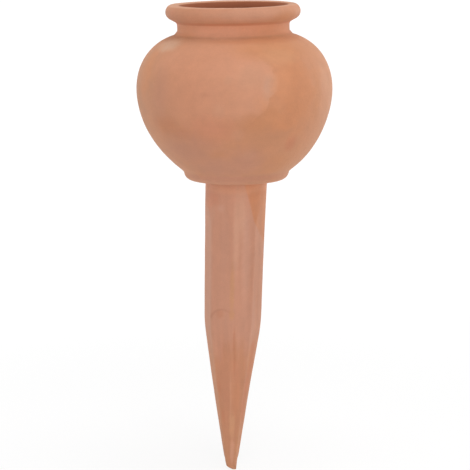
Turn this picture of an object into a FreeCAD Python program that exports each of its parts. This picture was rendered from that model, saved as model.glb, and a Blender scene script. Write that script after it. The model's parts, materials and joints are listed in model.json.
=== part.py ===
import FreeCAD, Part
import math
import os
from types import SimpleNamespace

import Sketcher

# A terracotta watering spike: a small round jar that stands on a hollow, pointed spike.
# Jar and spike are one piece of fired clay.
# The origin is on the jar's axis at the underside of its foot, which rests on the soil.
# +Z runs up through the mouth, and -Y is the front. Lengths are millimetres, angles degrees.

os.makedirs("parts", exist_ok=True)
doc = FreeCAD.newDocument("WateringSpike")

SIZES = {
    # The jar's outside, from the soil to the rim
    "foot_radius": 33.4,
    "foot_edge_radius": 5.4,
    "foot_band_height": 0.2,
    "belly_radius": 61.9,
    "belly_height": 57.8,
    "lower_belly_curve": 52.9,
    "hip_drop": 14.2,
    "upper_belly_curve": 38.0,
    "shoulder_rise": 18.2,
    "upper_shoulder_rise": 16.0,
    "neck_radius": 35.4,
    "neck_height": 18.7,
    # The rolled rim
    "rim_overhang": 7.1,
    "rim_roll_radius": 5.0,
    "rim_edge_radius": 1.8,
    "rim_turn_angle": 58.0,
    "rim_underside_angle": 29.0,
    "rim_lip_radius": 6.4,
    # The soft creases where the clay was smoothed
    "rim_crease_radius": 1.2,
    "neck_crease_radius": 2.5,
    "foot_crease_radius": 1.0,
    "spike_crease_radius": 0.8,
    # The jar's inside
    "wall": 5.0,
    "cove_angle": 45.0,
    "floor_corner_radius": 6.0,
    "drain_edge_radius": 2.5,
    # The spike, measured down its own axis from the underside of the foot
    "spike_length": 189.7,
    "spike_radius": 19.3,
    "spike_lean": 2.0,
    "spike_seat": 3.0,
    "taper_start": 93.2,
    "taper_radius": 17.9,
    "taper_blend_radius": 80.0,
    "tip_radius": 2.9,
    "tip_slant": 24.0,
    # The flats pared down the spike
    "flat_count": 8,
    "flat_turn": 17.5,
    "flat_start": 5.0,
    "flat_full_depth_at": 27.0,
    "flat_depth": 1.15,
    "flat_depth_at_tip": 0.3,
    # The spike's inside
    "spike_wall": 4.8,
    "hollow_end_radius": 2.2,
    "tip_solid_length": 26.0,
    # How far a cut runs past the clay that it removes
    "cut_margin": 1.0,
}

sheet = doc.addObject("Spreadsheet::Sheet", "Sizes")
for row, (alias, value) in enumerate(SIZES.items(), start=1):
    sheet.set(f"A{row}", alias)
    sheet.set(f"B{row}", str(value))
    sheet.setAlias(f"B{row}", alias)
doc.recompute()
size = SimpleNamespace(**SIZES)


# Drawing helpers

def at(x, y):
    """A point in a sketch."""
    return FreeCAD.Vector(x, y, 0)


def line(start, end, smooth=False):
    """A straight piece of an outline; a smooth piece is tangent to the one before it."""
    return SimpleNamespace(curve=Part.LineSegment(start, end), first=1, last=2, smooth=smooth)


def arc(centre, radius, start, end, smooth=False):
    """A round piece of an outline from one angle to another, drawn either way round."""
    circle = Part.Circle(centre, FreeCAD.Vector(0, 0, 1), radius)
    low, high = sorted((start, end))
    first, last = (1, 2) if start < end else (2, 1)
    curve = Part.ArcOfCircle(circle, math.radians(low), math.radians(high))
    return SimpleNamespace(curve=curve, first=first, last=last, smooth=smooth, middle=centre)


def on_circle(centre, radius, angle):
    """The point of a circle at an angle."""
    return centre + at(math.cos(math.radians(angle)), math.sin(math.radians(angle))) * radius


def angle_of(centre, target):
    """The angle at which a point is seen from a centre."""
    return math.degrees(math.atan2(target.y - centre.y, target.x - centre.x))


def arc_through(centre, radius, takeover, target):
    """The arc that leaves another arc smoothly at the takeover angle and ends at the target."""
    joint = on_circle(centre, radius, takeover)
    outward = (joint - centre) / radius
    chord = target - joint
    new_radius = chord.Length ** 2 / (-2 * chord.dot(outward))
    new_centre = joint - outward * new_radius
    return SimpleNamespace(centre=new_centre, radius=new_radius, end=angle_of(new_centre, target))


def blend(before, corner, after, radius):
    """The arc that rounds a corner between two straight lines, and its two ends."""
    back = (before - corner).normalize()
    ahead = (after - corner).normalize()
    half = back.getAngle(ahead) / 2
    reach = radius / math.tan(half)
    start = corner + back * reach
    end = corner + ahead * reach
    centre = corner + (back + ahead).normalize() * (radius / math.sin(half))
    piece = arc(centre, radius, angle_of(centre, start), angle_of(centre, end), smooth=True)
    return SimpleNamespace(start=start, end=end, piece=piece)


class Outline:
    """A closed outline in a sketch, whose sizes follow the sheet."""

    def __init__(self, sketch, pieces):
        self.sketch = sketch
        self.pieces = pieces
        self.index = {name: sketch.addGeometry(piece.curve, False) for name, piece in pieces.items()}
        names = list(pieces)
        for name, following in zip(names, names[1:] + names[:1]):
            kind = "Tangent" if pieces[following].smooth else "Coincident"
            self.fix(kind, *self.end(name), *self.start(following))

    def start(self, name):
        """Where a piece of the outline starts."""
        return self.index[name], self.pieces[name].first

    def end(self, name):
        """Where a piece of the outline ends."""
        return self.index[name], self.pieces[name].last

    def centre(self, name):
        """The centre of a round piece."""
        return self.index[name], 3

    def fix(self, kind, *where):
        """Holds a relation that has no size."""
        self.sketch.addConstraint(Sketcher.Constraint(kind, *where))

    def bind(self, kind, where, formula):
        """Holds a distance, a radius or an angle to a formula of the sheet's sizes."""
        value = float(self.sketch.evalExpression(formula))
        if kind == "Angle":
            value = math.radians(value)
            formula = f"({formula}) * 1 deg"
        number = self.sketch.addConstraint(Sketcher.Constraint(kind, *where, value))
        self.sketch.setExpression(f"Constraints[{number}]", formula)

    def level(self, *names):
        """Holds straight pieces level."""
        for name in names:
            self.fix("Horizontal", self.index[name])

    def upright(self, *names):
        """Holds straight pieces upright."""
        for name in names:
            self.fix("Vertical", self.index[name])

    def radius(self, name, formula):
        """Holds the radius of a round piece."""
        self.bind("Radius", (self.index[name],), formula)

    def out(self, where, formula):
        """Holds a point's distance from the axis."""
        self.bind("DistanceX", (*ORIGIN, *where), formula)

    def up(self, where, formula):
        """Holds a point's height above the sketch's origin."""
        self.bind("DistanceY", (*ORIGIN, *where), formula)

    def down(self, where, formula):
        """Holds a point's depth below the sketch's origin."""
        self.bind("DistanceY", (*where, *ORIGIN), formula)

    def on_axis(self, where):
        """Keeps a point on the upright axis."""
        self.fix("Vertical", *where, *ORIGIN)

    def corner_point(self, name, following, place, out_formula, down_formula):
        """Makes two straight pieces aim at one corner, which a round piece between them cuts off."""
        corner = (self.sketch.addGeometry(Part.Point(place), True), 1)
        self.fix("PointOnObject", *corner, self.index[name])
        self.fix("PointOnObject", *corner, self.index[following])
        self.out(corner, out_formula)
        self.down(corner, down_formula)

    def on_radius_to(self, name, where, target, out_formula, up_formula):
        """Keeps a point on the straight line from a round piece's centre to a target."""
        ray = self.sketch.addGeometry(Part.LineSegment(self.pieces[name].middle, target), True)
        self.fix("Coincident", ray, 1, *self.centre(name))
        self.out((ray, 2), out_formula)
        self.up((ray, 2), up_formula)
        self.fix("PointOnObject", *where, ray)

    def note_radius(self, name, label):
        """Measures a radius that follows from the others, so that another sketch can use it."""
        number = self.sketch.addConstraint(Sketcher.Constraint("Radius", self.index[name], 1.0))
        self.sketch.setDriving(number, False)
        self.sketch.renameConstraint(number, label)


ORIGIN = (-1, 1)

LEAN = "rotation(vector(0; 0; 1); -Sizes.spike_lean)"
TURN = "rotation(vector(0; 1; 0); Sizes.flat_turn)"


def sketch_on_front_plane(name, rotation=None):
    """A sketch on the upright plane through the jar's axis, leaning with the spike if asked."""
    sketch = body.newObject("Sketcher::SketchObject", name)
    plane = next(part for part in body.Origin.OriginFeatures if part.Role == "XZ_Plane")
    sketch.AttachmentSupport = [(plane, "")]
    sketch.MapMode = "FlatFace"
    if rotation:
        sketch.setExpression("AttachmentOffset", f"placement(vector(0; 0; 0); {rotation})")
        doc.recompute()
    return sketch


def volume_after(feature, change):
    """Rebuilds the document and checks that a feature added or removed clay as it should."""
    before = volume_after.latest
    doc.recompute()
    volume_after.latest = feature.Shape.Volume
    if change * (volume_after.latest - before) <= 0:
        raise RuntimeError(f"{feature.Name} left the clay unchanged")
    print(f"{feature.Name}: {volume_after.latest / 1000:.1f} cubic centimetres")


volume_after.latest = 0.0
ADDED = 1
REMOVED = -1


def spin(kind, name, sketch, change):
    """Turns a sketch all the way round its own upright axis."""
    feature = body.newObject(kind, name)
    feature.Profile = sketch
    feature.ReferenceAxis = (sketch, ["V_Axis"])
    feature.Angle = 360
    volume_after(feature, change)
    return feature


def cut_across(name, sketch, width_formula):
    """Cuts a sketch's outline away, equally to both sides of the sketch."""
    feature = body.newObject("PartDesign::Pocket", name)
    feature.Profile = sketch
    feature.SideType = "Symmetric"
    feature.setExpression("Length", width_formula)
    volume_after(feature, REMOVED)
    return feature


ROUND_SLACK = 0.01
LEANING_SLACK = 1.0


def ring_edges(feature, radius, height, slack=ROUND_SLACK, samples=5):
    """Names of the level rings of edges about the jar's axis with this radius and height.

    Where the leaning spike meets a level face the ring is a little off the axis, so its slack is larger.
    """
    names = []
    for number, edge in enumerate(feature.Shape.Edges, start=1):
        points = edge.discretize(Number=samples)
        level = all(abs(place.z - height) < ROUND_SLACK for place in points)
        reach = max(math.hypot(place.x, place.y) for place in points)
        if level and abs(reach - radius) < slack:
            names.append(f"Edge{number}")
    return names


def soften(name, base, edges, formula, change):
    """Rounds edges with a radius from the sheet."""
    feature = body.newObject("PartDesign::Fillet", name)
    feature.Base = (base, edges)
    feature.setExpression("Radius", formula)
    volume_after(feature, change)
    return feature


body = doc.addObject("PartDesign::Body", "watering_spike")
body.Label = "watering_spike"
doc.recompute()


# The jar's outer curves: two arcs above the widest line and two below it

foot_top = size.foot_edge_radius + size.foot_band_height
neck_base = size.belly_height + size.shoulder_rise + size.upper_shoulder_rise
jar_height = neck_base + size.neck_height
NECK_BASE = "(Sizes.belly_height + Sizes.shoulder_rise + Sizes.upper_shoulder_rise)"
JAR_HEIGHT = f"({NECK_BASE} + Sizes.neck_height)"
upper_centre = at(size.belly_radius - size.upper_belly_curve, size.belly_height)
lower_centre = at(size.belly_radius - size.lower_belly_curve, size.belly_height)
shoulder_start = math.degrees(math.asin(size.shoulder_rise / size.upper_belly_curve))
hip_start = -math.degrees(math.asin(size.hip_drop / size.lower_belly_curve))
neck_foot = at(size.neck_radius, neck_base)
hip_foot = at(size.foot_radius, foot_top)
shoulder = arc_through(upper_centre, size.upper_belly_curve, shoulder_start, neck_foot)
hip = arc_through(lower_centre, size.lower_belly_curve, hip_start, hip_foot)

# The rolled rim: a cheek that turns out from the neck, a small edge and a flat crest

roll_x = size.neck_radius + size.rim_overhang - size.rim_roll_radius
turn = math.radians(size.rim_turn_angle)
roll_y = (jar_height - size.rim_edge_radius
          - (size.rim_roll_radius - size.rim_edge_radius) * math.sin(turn))
roll_centre = at(roll_x, roll_y)
edge_centre = on_circle(roll_centre, size.rim_roll_radius - size.rim_edge_radius, size.rim_turn_angle)
roll_start = on_circle(roll_centre, size.rim_roll_radius, size.rim_underside_angle - 90)
underside_drop = (roll_start.x - size.neck_radius) * math.tan(math.radians(size.rim_underside_angle))
rim_crease = at(size.neck_radius, roll_start.y - underside_drop)
crest = at(edge_centre.x, jar_height)

foot_flat = at(size.foot_radius - size.foot_edge_radius, 0)
foot_edge_centre = at(foot_flat.x, size.foot_edge_radius)
foot_edge_end = at(size.foot_radius, size.foot_edge_radius)

jar_sketch = sketch_on_front_plane("JarProfile")
jar = Outline(jar_sketch, {
    "underside": line(at(0, 0), foot_flat),
    "foot_edge": arc(foot_edge_centre, size.foot_edge_radius, -90, 0, smooth=True),
    "foot_band": line(foot_edge_end, hip_foot, smooth=True),
    "hip": arc(hip.centre, hip.radius, hip.end, hip_start),
    "lower_belly": arc(lower_centre, size.lower_belly_curve, hip_start, 0, smooth=True),
    "upper_belly": arc(upper_centre, size.upper_belly_curve, 0, shoulder_start, smooth=True),
    "shoulder": arc(shoulder.centre, shoulder.radius, shoulder_start, shoulder.end, smooth=True),
    "neck": line(neck_foot, rim_crease),
    "rim_underside": line(rim_crease, roll_start),
    "rim_roll": arc(roll_centre, size.rim_roll_radius,
                    size.rim_underside_angle - 90, size.rim_turn_angle, smooth=True),
    "rim_edge": arc(edge_centre, size.rim_edge_radius, size.rim_turn_angle, 90, smooth=True),
    "top": line(crest, at(0, jar_height), smooth=True),
    "axis": line(at(0, jar_height), at(0, 0)),
})
jar.fix("Coincident", *jar.start("underside"), *ORIGIN)
jar.level("underside", "top")
jar.upright("foot_band", "neck", "axis")
jar.radius("foot_edge", "Sizes.foot_edge_radius")
jar.out(jar.end("foot_band"), "Sizes.foot_radius")
jar.up(jar.end("foot_band"), "Sizes.foot_edge_radius + Sizes.foot_band_height")
jar.out(jar.start("upper_belly"), "Sizes.belly_radius")
jar.up(jar.start("upper_belly"), "Sizes.belly_height")
jar.fix("Horizontal", *jar.centre("upper_belly"), *jar.start("upper_belly"))
jar.radius("upper_belly", "Sizes.upper_belly_curve")
jar.radius("lower_belly", "Sizes.lower_belly_curve")
jar.up(jar.end("upper_belly"), "Sizes.belly_height + Sizes.shoulder_rise")
jar.up(jar.start("lower_belly"), "Sizes.belly_height - Sizes.hip_drop")
jar.out(jar.start("neck"), "Sizes.neck_radius")
jar.up(jar.start("neck"), NECK_BASE)
jar.bind("Angle", (jar.index["rim_underside"],), "Sizes.rim_underside_angle")
jar.radius("rim_roll", "Sizes.rim_roll_radius")
jar.out(jar.centre("rim_roll"), "Sizes.neck_radius + Sizes.rim_overhang - Sizes.rim_roll_radius")
jar.radius("rim_edge", "Sizes.rim_edge_radius")
jar.out(jar.centre("rim_edge"),
        "Sizes.neck_radius + Sizes.rim_overhang - Sizes.rim_roll_radius"
        " + (Sizes.rim_roll_radius - Sizes.rim_edge_radius) * cos(Sizes.rim_turn_angle * 1 deg)")
jar.up(jar.end("rim_edge"), JAR_HEIGHT)
jar.note_radius("shoulder", "ShoulderCurve")
jar.note_radius("hip", "HipCurve")
jar_solid = spin("PartDesign::Revolution", "Jar", jar_sketch, ADDED)

rim_creased = soften("RimCrease", jar_solid, ring_edges(jar_solid, rim_crease.x, rim_crease.y),
                     "Sizes.rim_crease_radius", ADDED)
neck_creased = soften("NeckCrease", rim_creased, ring_edges(rim_creased, size.neck_radius, neck_base),
                      "Sizes.neck_crease_radius", ADDED)
soften("FootCrease", neck_creased, ring_edges(neck_creased, size.foot_radius, foot_top),
       "Sizes.foot_crease_radius", ADDED)


# The spike: a round blank with a long taper

blank_corner = at(size.taper_radius, -size.taper_start)
blank_top = at(size.spike_radius, size.spike_seat)
tip = at(size.tip_radius, -size.spike_length)
blank_blend = blend(tip, blank_corner, blank_top, size.taper_blend_radius)

blank_sketch = sketch_on_front_plane("SpikeProfile", LEAN)
blank = Outline(blank_sketch, {
    "end": line(at(0, -size.spike_length), tip),
    "taper": line(tip, blank_blend.start),
    "bend": blank_blend.piece,
    "shank": line(blank_blend.end, blank_top, smooth=True),
    "top": line(blank_top, at(0, size.spike_seat)),
    "axis": line(at(0, size.spike_seat), at(0, -size.spike_length)),
})
blank.level("end", "top")
blank.upright("axis")
blank.on_axis(blank.start("end"))
blank.out(blank.end("end"), "Sizes.tip_radius")
blank.down(blank.end("end"), "Sizes.spike_length")
blank.out(blank.end("shank"), "Sizes.spike_radius")
blank.up(blank.end("shank"), "Sizes.spike_seat")
blank.radius("bend", "Sizes.taper_blend_radius")
blank.corner_point("taper", "shank", blank_corner, "Sizes.taper_radius", "Sizes.taper_start")
spike_blank = spin("PartDesign::Revolution", "SpikeBlank", blank_sketch, ADDED)

soften("SpikeCrease", spike_blank, ring_edges(spike_blank, size.spike_radius, 0, LEANING_SLACK),
       "Sizes.spike_crease_radius", ADDED)


# Flats pared down the blank: each starts as an arch below the foot and runs out at the tip

shank_slope = (size.spike_radius - size.taper_radius) / (size.taper_start + size.spike_seat)
shank_at_flat = size.spike_radius - shank_slope * (size.flat_full_depth_at + size.spike_seat)
SHANK_AT_FLAT = ("Sizes.spike_radius - (Sizes.spike_radius - Sizes.taper_radius)"
                 " * (Sizes.flat_full_depth_at + Sizes.spike_seat)"
                 " / (Sizes.taper_start + Sizes.spike_seat)")
flat_foot = at(size.tip_radius - size.flat_depth_at_tip, -size.spike_length - size.cut_margin)
flat_corner = at(size.taper_radius - size.flat_depth, -size.taper_start)
flat_full = at(shank_at_flat - size.flat_depth, -size.flat_full_depth_at)
flat_top = at(size.spike_radius + size.cut_margin, -size.flat_start)
outside = size.spike_radius + 2 * size.cut_margin
flat_blend = blend(flat_foot, flat_corner, flat_full, size.taper_blend_radius)

flat_sketch = sketch_on_front_plane("FlatProfile", f"{LEAN} * {TURN}")
flat = Outline(flat_sketch, {
    "taper": line(flat_foot, flat_blend.start),
    "bend": flat_blend.piece,
    "shank": line(flat_blend.end, flat_full, smooth=True),
    "run_in": line(flat_full, flat_top),
    "top": line(flat_top, at(outside, flat_top.y)),
    "outside": line(at(outside, flat_top.y), at(outside, flat_foot.y)),
    "bottom": line(at(outside, flat_foot.y), flat_foot),
})
flat.level("top", "bottom")
flat.upright("outside")
flat.out(flat.start("taper"), "Sizes.tip_radius - Sizes.flat_depth_at_tip")
flat.down(flat.start("taper"), "Sizes.spike_length + Sizes.cut_margin")
flat.radius("bend", "Sizes.taper_blend_radius")
flat.corner_point("taper", "shank", flat_corner,
                  "Sizes.taper_radius - Sizes.flat_depth", "Sizes.taper_start")
flat.out(flat.end("shank"), f"{SHANK_AT_FLAT} - Sizes.flat_depth")
flat.down(flat.end("shank"), "Sizes.flat_full_depth_at")
flat.out(flat.end("run_in"), "Sizes.spike_radius + Sizes.cut_margin")
flat.down(flat.end("run_in"), "Sizes.flat_start")
flat.out(flat.end("top"), "Sizes.spike_radius + 2 * Sizes.cut_margin")

first_flat = cut_across("FirstFlat", flat_sketch, "2 * (Sizes.spike_radius + Sizes.cut_margin)")
flats = body.newObject("PartDesign::PolarPattern", "Flats")
flats.Originals = [first_flat]
flats.Axis = (flat_sketch, ["V_Axis"])
flats.Angle = 360
flats.setExpression("Occurrences", "Sizes.flat_count")
body.Tip = flats
volume_after(flats, REMOVED)


# The blunt tip, cut off on a slant that leaves the right side lowest

tip_far = -2 * size.tip_radius
tip_near = at(size.tip_radius + size.cut_margin, -size.spike_length)
tip_rise = (tip_near.x - tip_far) * math.tan(math.radians(size.tip_slant))
tip_high = at(tip_far, tip_near.y + tip_rise)
tip_low_left = at(tip_far, tip_near.y - size.cut_margin)
tip_low_right = at(tip_near.x, tip_near.y - size.cut_margin)

tip_sketch = sketch_on_front_plane("TipProfile", LEAN)
tip_cut = Outline(tip_sketch, {
    "slant": line(tip_near, tip_high),
    "left": line(tip_high, tip_low_left),
    "bottom": line(tip_low_left, tip_low_right),
    "right": line(tip_low_right, tip_near),
})
tip_cut.level("bottom")
tip_cut.upright("left", "right")
tip_cut.out(tip_cut.start("slant"), "Sizes.tip_radius + Sizes.cut_margin")
tip_cut.down(tip_cut.start("slant"), "Sizes.spike_length")
tip_cut.bind("DistanceX", (*tip_cut.end("slant"), *ORIGIN), "2 * Sizes.tip_radius")
tip_cut.down(tip_cut.start("bottom"), "Sizes.spike_length + Sizes.cut_margin")
tip_cut.bind("Angle", (tip_cut.index["slant"],), "180 - Sizes.tip_slant")
cut_across("Tip", tip_sketch, "4 * (Sizes.tip_radius + Sizes.cut_margin)")


# The jar's hollow: the outer curves moved in by the wall, and a lip that rolls over to the crest

mouth_radius = size.neck_radius - size.wall
inner_shoulder_radius = shoulder.radius - size.wall
inner_hip_radius = hip.radius - size.wall
inner_shoulder_end = math.degrees(math.acos((mouth_radius - shoulder.centre.x) / inner_shoulder_radius))
inner_neck_base = on_circle(shoulder.centre, inner_shoulder_radius, inner_shoulder_end)
cove_top = on_circle(hip.centre, inner_hip_radius, hip.end)
cove_run = (cove_top.y - size.wall) / math.tan(math.radians(size.cove_angle))
cove_foot = at(cove_top.x - cove_run, size.wall)
lip_foot = at(mouth_radius, jar_height - size.rim_lip_radius)
lip_centre = at(mouth_radius + size.rim_lip_radius, lip_foot.y)
lip_top = at(lip_centre.x, jar_height)
above = jar_height + size.cut_margin

hollow_sketch = sketch_on_front_plane("HollowProfile")
hollow = Outline(hollow_sketch, {
    "floor": line(at(0, size.wall), cove_foot),
    "cove": line(cove_foot, cove_top),
    "hip": arc(hip.centre, inner_hip_radius, hip.end, hip_start),
    "lower_belly": arc(lower_centre, size.lower_belly_curve - size.wall, hip_start, 0, smooth=True),
    "upper_belly": arc(upper_centre, size.upper_belly_curve - size.wall, 0, shoulder_start, smooth=True),
    "shoulder": arc(shoulder.centre, inner_shoulder_radius,
                    shoulder_start, inner_shoulder_end, smooth=True),
    "neck": line(inner_neck_base, lip_foot),
    "lip": arc(lip_centre, size.rim_lip_radius, 180, 90, smooth=True),
    "above": line(lip_top, at(lip_top.x, above)),
    "top": line(at(lip_top.x, above), at(0, above)),
    "axis": line(at(0, above), at(0, size.wall)),
})
hollow.level("floor", "top")
hollow.upright("neck", "above", "axis")
hollow.on_axis(hollow.start("floor"))
hollow.up(hollow.start("floor"), "Sizes.wall")
hollow.bind("Angle", (hollow.index["cove"],), "Sizes.cove_angle")
hollow.on_radius_to("hip", hollow.start("hip"), hip_foot,
                    "Sizes.foot_radius", "Sizes.foot_edge_radius + Sizes.foot_band_height")
hollow.radius("hip", "JarProfile.Constraints.HipCurve / 1 mm - Sizes.wall")
hollow.radius("lower_belly", "Sizes.lower_belly_curve - Sizes.wall")
hollow.up(hollow.start("lower_belly"),
          "Sizes.belly_height - Sizes.hip_drop * (1 - Sizes.wall / Sizes.lower_belly_curve)")
hollow.out(hollow.start("upper_belly"), "Sizes.belly_radius - Sizes.wall")
hollow.up(hollow.start("upper_belly"), "Sizes.belly_height")
hollow.fix("Horizontal", *hollow.centre("upper_belly"), *hollow.start("upper_belly"))
hollow.radius("upper_belly", "Sizes.upper_belly_curve - Sizes.wall")
hollow.up(hollow.end("upper_belly"),
          "Sizes.belly_height + Sizes.shoulder_rise * (1 - Sizes.wall / Sizes.upper_belly_curve)")
hollow.radius("shoulder", "JarProfile.Constraints.ShoulderCurve / 1 mm - Sizes.wall")
hollow.out(hollow.start("neck"), "Sizes.neck_radius - Sizes.wall")
hollow.radius("lip", "Sizes.rim_lip_radius")
hollow.up(hollow.start("above"), JAR_HEIGHT)
hollow.fix("Vertical", *hollow.centre("lip"), *hollow.start("above"))
hollow.up(hollow.end("above"), f"{JAR_HEIGHT} + Sizes.cut_margin")
spin("PartDesign::Groove", "JarHollow", hollow_sketch, REMOVED)


# The spike's hollow, open to the jar and closed above the tip

bore_sketch = sketch_on_front_plane("BoreProfile", LEAN)
bore_foot = size.tip_solid_length - size.spike_length
bore_corner = at(size.taper_radius - size.spike_wall, -size.taper_start)
bore_top = at(size.spike_radius - size.spike_wall, size.wall + size.cut_margin)
bore = Outline(bore_sketch, {
    "end": line(at(0, bore_foot), at(size.hollow_end_radius, bore_foot)),
    "taper": line(at(size.hollow_end_radius, bore_foot), bore_corner),
    "shank": line(bore_corner, bore_top),
    "top": line(bore_top, at(0, bore_top.y)),
    "axis": line(at(0, bore_top.y), at(0, bore_foot)),
})
bore.level("end", "top")
bore.upright("axis")
bore.on_axis(bore.start("end"))
bore.out(bore.end("end"), "Sizes.hollow_end_radius")
bore.down(bore.end("end"), "Sizes.spike_length - Sizes.tip_solid_length")
bore.out(bore.end("taper"), "Sizes.taper_radius - Sizes.spike_wall")
bore.down(bore.end("taper"), "Sizes.taper_start")
bore.out(bore.end("shank"), "Sizes.spike_radius - Sizes.spike_wall")
bore.up(bore.end("shank"), "Sizes.wall + Sizes.cut_margin")
bored = spin("PartDesign::Groove", "SpikeHollow", bore_sketch, REMOVED)

inner_neck = soften("InnerNeck", bored, ring_edges(bored, mouth_radius, inner_neck_base.y),
                    "Sizes.neck_crease_radius + Sizes.wall", REMOVED)
floor_corner = soften("FloorCorner", inner_neck, ring_edges(inner_neck, cove_foot.x, size.wall),
                      "Sizes.floor_corner_radius", ADDED)
soften("DrainEdge", floor_corner, ring_edges(floor_corner, bore_top.x, size.wall, LEANING_SLACK),
       "Sizes.drain_edge_radius", REMOVED)


# The finished piece is checked and written

for thing in doc.Objects:
    if "Invalid" in thing.State or "Error" in thing.State:
        raise RuntimeError(f"{thing.Name} did not rebuild")
if body.Shape.isNull() or not body.Shape.isValid() or len(body.Shape.Solids) != 1:
    raise RuntimeError("the clay body is not one sound solid")
body.Shape.exportStep(f"parts/{body.Label}.step")
box = body.Shape.BoundBox
print(f"{body.Label}: {box.XLength:.1f} x {box.YLength:.1f} x {box.ZLength:.1f} mm, "
      f"{body.Shape.Volume / 1000:.1f} cubic centimetres of clay")
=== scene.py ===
# %% [markdown]
# A terracotta watering spike: a small round jar on a hollow, pointed spike, all one piece of
# fired clay. The spike is pushed into the soil of a plant pot, the jar is filled with water,
# and the water seeps slowly out through the clay.
#
# The imported CAD model is loaded first. It fixes where everything is and how large it is:
# metres, +Z up through the jar's mouth, -Y the front, and the origin at the underside of the
# jar's foot. The box that it fills is measured and printed.

# %% Load the frame
import json
import math

import bmesh
import bpy
from mathutils import Color, Matrix, Vector

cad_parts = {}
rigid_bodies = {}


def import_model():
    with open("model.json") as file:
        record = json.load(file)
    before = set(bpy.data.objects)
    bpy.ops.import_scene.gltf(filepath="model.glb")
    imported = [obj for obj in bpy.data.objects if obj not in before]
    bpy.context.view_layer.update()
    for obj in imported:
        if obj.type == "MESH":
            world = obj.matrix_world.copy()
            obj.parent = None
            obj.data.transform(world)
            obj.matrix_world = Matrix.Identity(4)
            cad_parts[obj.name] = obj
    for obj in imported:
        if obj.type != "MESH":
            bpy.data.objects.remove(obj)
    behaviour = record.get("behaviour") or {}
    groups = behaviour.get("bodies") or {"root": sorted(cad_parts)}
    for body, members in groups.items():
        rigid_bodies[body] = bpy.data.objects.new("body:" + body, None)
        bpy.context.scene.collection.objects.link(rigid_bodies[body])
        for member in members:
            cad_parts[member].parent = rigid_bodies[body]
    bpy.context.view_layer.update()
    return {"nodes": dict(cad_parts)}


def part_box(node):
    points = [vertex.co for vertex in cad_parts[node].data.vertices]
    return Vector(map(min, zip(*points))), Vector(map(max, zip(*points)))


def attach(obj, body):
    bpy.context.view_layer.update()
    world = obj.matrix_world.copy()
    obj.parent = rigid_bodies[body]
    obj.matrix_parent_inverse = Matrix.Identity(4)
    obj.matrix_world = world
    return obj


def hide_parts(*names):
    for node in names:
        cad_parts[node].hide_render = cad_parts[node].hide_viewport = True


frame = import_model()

MM = 0.001
CAD_NODE = "watering_spike"
low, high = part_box(CAD_NODE)
print(f"CAD node: {(high.x - low.x) / MM:.1f} mm wide, {(high.z - low.z) / MM:.1f} mm tall")

# %% [markdown]
# The sizes of the clay, in millimetres. They are the same driving sizes as in the CAD source:
# each curve of the jar is an arc with a radius, and each arc runs smoothly into the next one.
# Every ring of the mesh has AROUND points, and two places closer than NEAR count as the same.

# %% The sizes of the jar and the spike
FOOT_RADIUS = 33.4
FOOT_EDGE_RADIUS = 5.4
FOOT_TOP = 5.6
BELLY_RADIUS = 61.9
BELLY_HEIGHT = 57.8
LOWER_BELLY_CURVE = 52.9
HIP_DROP = 14.2
UPPER_BELLY_CURVE = 38.0
SHOULDER_RISE = 18.2
NECK_RADIUS = 35.4
NECK_BASE = 92.0
JAR_HEIGHT = 110.7
RIM_OVERHANG = 7.1
RIM_ROLL_RADIUS = 5.0
RIM_EDGE_RADIUS = 1.8
RIM_TURN_ANGLE = 58.0
RIM_UNDERSIDE_ANGLE = 29.0
RIM_LIP_RADIUS = 6.4
WALL = 5.0

SPIKE_LENGTH = 189.7
SPIKE_RADIUS = 19.26
SPIKE_LEAN = 2.0
TAPER_START = 93.2
TAPER_RADIUS = 17.9
TIP_RADIUS = 2.9
TIP_SLANT = 24.0
SPIKE_WALL = 4.8
HOLLOW_DEPTH = 163.7
HOLLOW_END_RADIUS = 2.2

AROUND = 160
NEAR = 0.01
print(f"jar {JAR_HEIGHT:.0f} mm high, spike {SPIKE_LENGTH:.0f} mm long")

# %% [markdown]
# Four small helpers. The first selects points by their place in edit mode, which is how code does
# what a hand does with a box select, and the second pulls new points out of the selected ones.
# The third finds the point of a circle at an angle, and the fourth the angle of a point, in the
# upright XZ plane in which the jar's outline is drawn.

# %% Helpers for selecting and placing
def select_points(piece, chosen):
    """Selects the points of a piece in edit mode whose place (in millimetres) passes a test."""
    mesh = bmesh.from_edit_mesh(piece.data)
    for point in mesh.verts:
        point.select_set(chosen(point.co / MM))
    mesh.select_flush(True)
    mesh.select_flush(False)
    bmesh.update_edit_mesh(piece.data)
    return sum(point.select for point in mesh.verts)


def extrude(move=(0, 0, 0)):
    """Extrudes the selected points in edit mode, and moves the new ones, in metres."""
    bpy.ops.mesh.extrude_region_move(TRANSFORM_OT_translate={"value": move})


def on_circle(centre, radius, angle):
    """The point of a circle in the XZ plane, angle 0 to the right and 90 at the top."""
    turn = math.radians(angle)
    return Vector((centre.x + radius * math.cos(turn), centre.y + radius * math.sin(turn)))


def angle_of(centre, target):
    """The angle at which a point is seen from a centre."""
    return math.degrees(math.atan2(target.y - centre.y, target.x - centre.x))

# %% [markdown]
# A potter's shape is a line turned round an axis. The line could be a curve object, but here a
# single point is extruded along the straight runs and spun along the arcs, so that every ring
# of the finished jar sits exactly where the sizes put it. The pen keeps where its last point is.

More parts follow.
